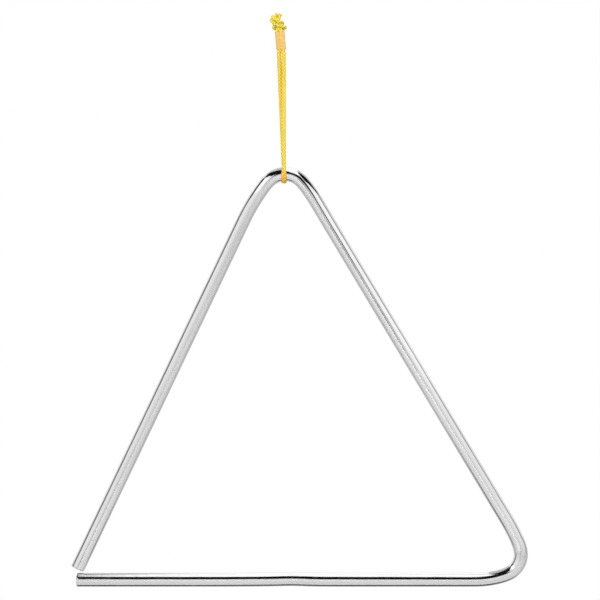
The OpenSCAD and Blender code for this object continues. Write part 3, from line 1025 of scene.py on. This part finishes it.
def rim_card(name, first_clock, last_clock, inner, outer, grey):
    """A curved card beside the object, which draws a line inside the bar's outlines. On a mirror ball it
    lies between two clock angles, in degrees from the right over the top, and two radii."""
    clocks = np.radians(np.linspace(first_clock, last_clock, 25))
    reaches = np.linspace(inner, outer, 6)
    points = [STUDIO_CENTRE + RIM_DISTANCE * mirrored(reach * math.cos(clock), reach * math.sin(clock))
              for reach in reaches for clock in clocks]
    count = len(clocks)
    firsts = [row * count + column for row in range(len(reaches) - 1) for column in range(count - 1)]
    faces = [(first, first + 1, first + count + 1, first + count) for first in firsts]
    card(name, points, faces, grey)


def low_card(name, near_edge, reach, middle_grey, side_grey):
    """A card that lies just above the floor behind the object, darkest at its near middle."""
    half_width, dark_end, pale_start = 0.06, 0.09, 0.22
    points = [(-reach, near_edge, LOW_CARD_Z), (reach, near_edge, LOW_CARD_Z), (reach, reach, LOW_CARD_Z),
              (-reach, reach, LOW_CARD_Z)]
    tree = card(name, points, [(0, 1, 2, 3)], middle_grey).node_tree
    place = parts(tree, add_node(tree, "ShaderNodeTexCoord").outputs["Object"])
    aside = number(tree, "SUBTRACT", number(tree, "ABSOLUTE", place["X"]), half_width)
    aside = number(tree, "MAXIMUM", aside, place["Y"])
    feed(tree.nodes["Emission"], Strength=spread(tree, aside, dark_end, pale_start, middle_grey, side_grey))


def lamp(name, place, aim, size, watts):
    """A lamp that metal doesn't mirror."""
    data = bpy.data.lights.new(name, "AREA")
    data.shape, data.size, data.size_y = "RECTANGLE", size[0], size[1]
    data.energy = watts
    made = placed(name, data)
    made.location = place
    made.rotation_euler = (Vector(aim) - Vector(place)).to_track_quat("-Z", "Y").to_euler()
    made.visible_glossy = False


def white_world():
    """White where the camera and clear plastic see it. Metal mirrors it greyer towards the horizon and
    brightest overhead, and everything else gets a soft grey light from it."""
    world = bpy.data.worlds.new("studio")
    bpy.context.scene.world = world
    world.use_nodes = True
    tree = world.node_tree
    tree.nodes.clear()
    light = add_node(tree, "ShaderNodeLightPath")
    height = parts(tree, add_node(tree, "ShaderNodeTexCoord").outputs["Generated"])["Z"]
    low_sky = spread(tree, height, 0.0, 0.14, 0.74, 0.84)
    middle_sky = spread(tree, height, 0.14, 0.45, 0.0, 0.12)
    high_sky = spread(tree, height, 0.5, 0.7, 0.0, 1.2)
    in_metal = number(tree, "MAXIMUM", number(tree, "ADD", low_sky, middle_sky), high_sky)
    strength = number(tree, "MULTIPLY_ADD", light.outputs["Is Glossy Ray"],
                      number(tree, "SUBTRACT", in_metal, WORLD_LIGHT), WORLD_LIGHT)
    clear = number(tree, "MAXIMUM", light.outputs["Is Camera Ray"], light.outputs["Is Transmission Ray"])
    strength = number(tree, "MAXIMUM", strength, clear)
    glow = add_node(tree, "ShaderNodeBackground", {"Color": (1, 1, 1, 1), "Strength": strength})
    tree.links.new(glow.outputs[0], add_node(tree, "ShaderNodeOutputWorld").inputs["Surface"])


def pale_floor():
    """A round pale floor below the hanging object. It keeps the shadow, and its rim fades into white."""
    reach, fade_start, fade_end = 2.1, 0.5, 1.9
    mesh = bpy.data.meshes.new("floor")
    rim = np.radians(np.arange(0, 360, 5))
    mesh.from_pydata([(reach * math.cos(angle), reach * math.sin(angle), FLOOR_Z) for angle in rim], [],
                     [tuple(range(len(rim)))])
    made, tree, shader = material("floor")
    shader.inputs["Base Color"].default_value = (0.645, 0.645, 0.647, 1)
    shader.inputs["Roughness"].default_value = 0.9
    away = add_node(tree, "ShaderNodeTexCoord").outputs["Object"]
    away = vector(tree, "MULTIPLY", away, (1.0, 1.0, 0.0))
    away = add_node(tree, "ShaderNodeVectorMath", {0: away}, operation="LENGTH").outputs["Value"]
    fade = add_node(tree, "ShaderNodeMapRange", {0: away, 1: fade_start, 2: fade_end},
                    interpolation_type="SMOOTHSTEP").outputs[0]
    seen = add_node(tree, "ShaderNodeLightPath").outputs["Is Camera Ray"]
    fade = number(tree, "MULTIPLY", fade, seen)
    white = add_node(tree, "ShaderNodeEmission", {"Color": (1, 1, 1, 1), "Strength": 1.0})
    both = add_node(tree, "ShaderNodeMixShader", {0: fade, 1: shader.outputs[0], 2: white.outputs[0]})
    tree.links.new(both.outputs[0], tree.nodes["Material Output"].inputs["Surface"])
    mesh.materials.append(made)
    placed("floor", mesh)


white_world()
pale_floor()
lamp("overhead", (0.0, -0.25, 0.98), (0.0, -0.1, -0.2), (0.75, 2.0), 7)
lamp("front", (-0.3, -1.65, 0.4), (0.0, 0, -0.1), (0.6, 0.5), 12)

# Name, grey, distance, and corners as they show on a mirror ball
FAR_CARDS = [
    ("front_gap", BLACK, NEAR, [(-0.05, 0.06), (0.0, 0.06), (0.03, 0.03), (0.03, 0.42), (-0.12, 0.42)]),
    ("front_right_gap", BLACK, NEAR, [(0.03, 0.03), (0.05, 0.01), (0.22, 0.20), (0.19, 0.29), (0.07, 0.30),
                                      (0.03, 0.40)]),
    ("camera_gap", 0.1, NEAR, [(-0.12, -0.05), (-0.105, -0.085), (-0.045, -0.05), (-0.05, -0.01)]),
    ("upper_left_gap", BLACK, NEAR, [(-0.54, 0.54), (-0.44, 0.47), (-0.22, 0.34), (-0.24, 0.62),
                                     (-0.36, 0.68)]),
    ("middle_left_gap", BLACK, NEAR, [(-0.24, 0.62), (-0.22, 0.34), (-0.11, 0.20), (-0.06, 0.27),
                                      (-0.05, 0.54), (-0.10, 0.64)]),
    ("upper_right_gap", BLACK, NEAR, [(0.25, 0.215), (0.50, 0.345), (0.62, 0.42), (0.70, 0.50), (0.58, 0.66),
                                      (0.42, 0.72), (0.33, 0.74), (0.28, 0.50), (0.25, 0.35)]),
    ("top_left", 0.62, FAR, [(-0.05, 0.55), (-0.05, 0.95), (-0.30, 0.90), (-0.55, 0.74), (-0.45, 0.60)]),
    ("top_right", 0.66, FAR, [(0.30, 0.60), (0.38, 0.90), (0.66, 0.70), (0.80, 0.52), (0.58, 0.38)]),
    ("left_panel", 1.2, MIDDLE, [(-0.56, 0.40), (-0.14, 0.12), (-0.10, 0.16), (-0.30, 0.36), (-0.50, 0.46)]),
    ("right_panel", 1.1, MIDDLE, [(0.22, 0.115), (0.68, 0.36), (0.66, 0.43), (0.24, 0.25), (0.17, 0.13)]),
]
# Name, first and last clock angle, inner and outer radius on the ball, and grey
RIM_CARDS = [
    ("left_rim", 146, 172, 0.63, 0.83, 0.22),
    ("left_low_rim", 172, 186, 0.63, 0.83, 0.35),
    ("left_bend_rim", 134, 146, 0.60, 0.80, 0.03),
    ("right_rim", 16, 35, 0.62, 0.80, 0.42),
    ("right_low_rim", -6, 16, 0.66, 0.86, 0.42),
]
for far in FAR_CARDS:
    far_card(*far)
for rim in RIM_CARDS:
    rim_card(*rim)
low_card("low_back", near_edge=0.005, reach=2.4, middle_grey=0.10, side_grey=0.55)
